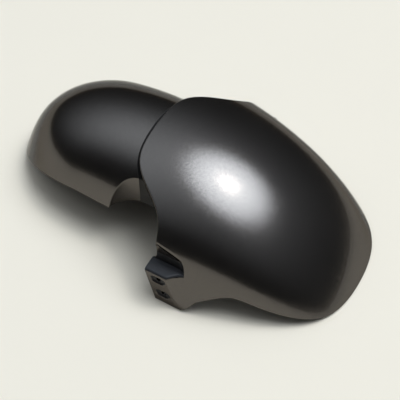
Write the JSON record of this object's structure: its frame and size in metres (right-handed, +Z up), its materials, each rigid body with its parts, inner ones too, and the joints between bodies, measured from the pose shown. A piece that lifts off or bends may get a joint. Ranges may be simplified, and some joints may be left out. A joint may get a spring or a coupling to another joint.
{
  "type": "front mudguard",
  "caption": "Motorbike front mudguard: a domed front shell with bolt-on fork tabs, lapped over a rear shell scalloped for the fork legs.",
  "frame": {"origin": "centre of the footprint on the floor that the mudguard lies on, open side down", "axes": "+X forward to the nose, +Y to the rider's left, +Z up"},
  "size_m": [0.4488, 0.264, 0.1315],
  "materials": {
    "paint": "dark grey metallic paint under gloss clear coat on a moulded plastic shell",
    "screw_steel": "plain zinc-plated steel"
  },
  "bodies": {
    "root": {"front_shell": "paint", "rear_shell": "paint", "joining_screws": "screw_steel"}
  },
  "joints": []
}
